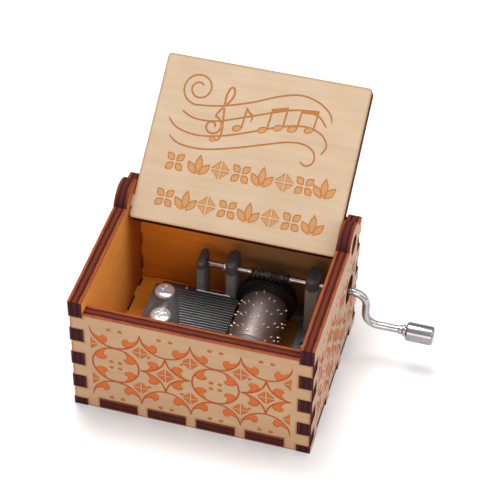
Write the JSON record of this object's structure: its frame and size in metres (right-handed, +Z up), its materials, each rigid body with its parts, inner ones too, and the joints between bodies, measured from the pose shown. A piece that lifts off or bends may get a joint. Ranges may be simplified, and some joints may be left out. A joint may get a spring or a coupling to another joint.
{
  "type": "hand-crank music box",
  "caption": "Small hand-crank music box: laser-cut plywood case with a peg-hinged lid, and a pinned-drum movement with a steel comb turned by a bent crank.",
  "frame": {"origin": "centre of the case's underside, on the surface it stands on", "axes": "+X right, towards the crank; +Y back, towards the hinge; +Z up"},
  "size_m": [0.0877, 0.0772, 0.0614],
  "materials": {
    "case_plywood": "laser-cut three-layer plywood, bare faces, burnt edges",
    "lid_plywood": "laser-cut three-layer plywood, paler face",
    "cast_zinc": "grey die-cast zinc alloy, as cast",
    "comb_steel": "dark hardened steel",
    "screw_chrome": "bright plated",
    "screw_zinc": "zinc plated",
    "drum_steel": "polished steel barrel",
    "pin_steel": "bright steel wire",
    "resin": "cast amber resin",
    "black_plastic": "moulded black acetal",
    "bush_brass": "turned brass",
    "damper_plastic": "soft clear strip",
    "weight_lead": "lead-tin solder",
    "nickel_rod": "nickel-plated steel rod",
    "nickel_knob": "nickel-plated turned steel"
  },
  "bodies": {
    "case": {"front_wall": "case_plywood", "back_wall": "case_plywood", "left_wall": "case_plywood", "right_wall": "case_plywood", "base_board": "case_plywood", "movement_bedplate": "cast_zinc", "left_bearing_cap": "cast_zinc", "middle_bearing_cap": "cast_zinc", "right_bearing_cap": "cast_zinc", "arbor_front_bush": "bush_brass", "arbor_rear_bush": "bush_brass", "comb": "comb_steel", "comb_weights": "weight_lead", "comb_dampers": "damper_plastic", "comb_screws": "screw_chrome", "bedplate_screws": "screw_zinc", "comb_locating_pin": "pin_steel"},
    "lid": {"lid_panel": "lid_plywood"},
    "crank": {"crank_rod": "nickel_rod", "shaft_clip": "pin_steel", "knob_collar": "nickel_rod"},
    "knob": {"crank_knob": "nickel_knob", "knob_end_plug": "nickel_knob"},
    "drum": {"drum_barrel": "drum_steel", "drum_pins": "pin_steel", "drum_front_cap": "bush_brass", "drum_resin_filling": "resin", "drum_rear_cap": "bush_brass", "drum_arbor": "pin_steel", "drum_gear": "black_plastic"}
  },
  "joints": [
    {"name": "lid_hinge", "type": "hinge", "parent": "case", "child": "lid", "pos_m": [0, 0.0166, 0.0359], "axis": [1, 0, 0], "range_deg": [0, 144.8]},
    {"name": "crank_spin", "type": "hinge", "parent": "case", "child": "crank", "pos_m": [0, 0.014, 0.0214], "axis": [1, 0, 0], "continuous": true},
    {"name": "knob_spin", "type": "hinge", "parent": "crank", "child": "knob", "pos_m": [0.052, 0.014, 0.0109], "axis": [1, 0, 0], "continuous": true},
    {"name": "drum_spin", "type": "hinge", "parent": "case", "child": "drum", "pos_m": [0.0099, 0.002, 0.0122], "axis": [0, 1, 0], "continuous": true}
  ],
  "couplings": [
    {"joint": "drum_spin", "follows": "crank_spin", "ratio": -0.025}
  ]
}
